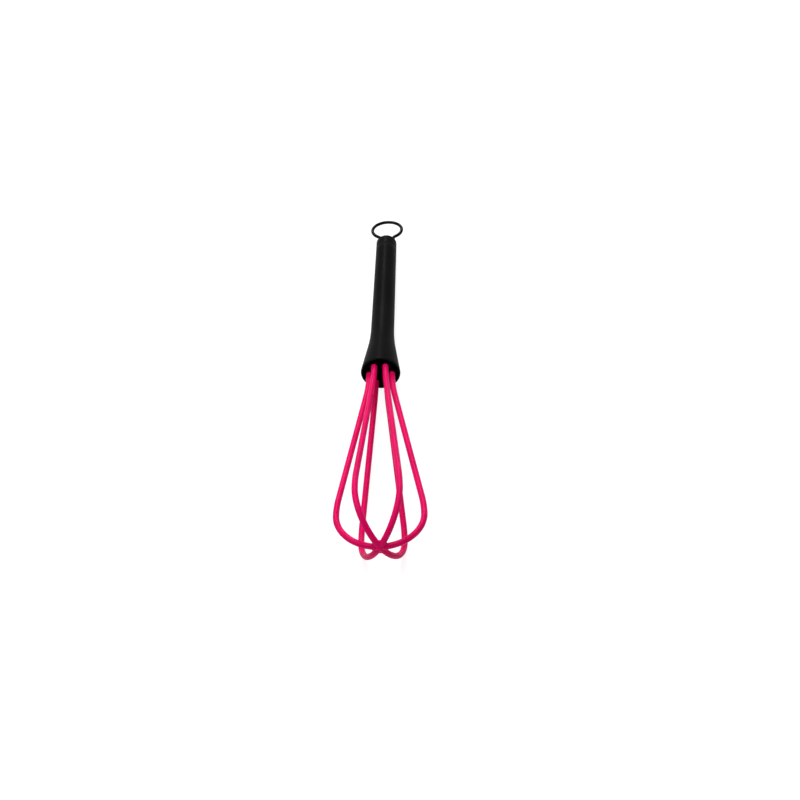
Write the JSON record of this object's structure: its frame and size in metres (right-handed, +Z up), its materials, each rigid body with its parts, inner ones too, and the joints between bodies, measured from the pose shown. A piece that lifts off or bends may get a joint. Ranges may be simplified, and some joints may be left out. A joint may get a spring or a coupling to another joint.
{
  "type": "balloon whisk",
  "caption": "Slim balloon whisk: hollow black moulded handle with a flared mouth, pink strand loops crossing at the crown, and a wire hanging ring at the end.",
  "frame": {"origin": "on the table, under the middle of the whisk's box as it lies at rest on two strands and the lower edge of its end cap", "axes": "+Z up from the table, -Y towards the crown of the cage, +Y towards the hanging ring, +X to the right seen from the crown"},
  "size_m": [0.0354, 0.221, 0.0311],
  "materials": {
    "handle": "satin black moulded plastic with a soft sheen along the grip",
    "ring": "black coated round wire",
    "plug": "matt black moulded plastic, inside the mouth",
    "strands": "bright pink moulded strand with a smooth soft gloss"
  },
  "bodies": {
    "root": {"handle_shell": "handle", "end_cap": "handle", "hanging_ring": "ring", "strand_plug": "plug", "strand_loop_1": "strands", "strand_loop_2": "strands", "strand_loop_3": "strands"}
  },
  "joints": []
}
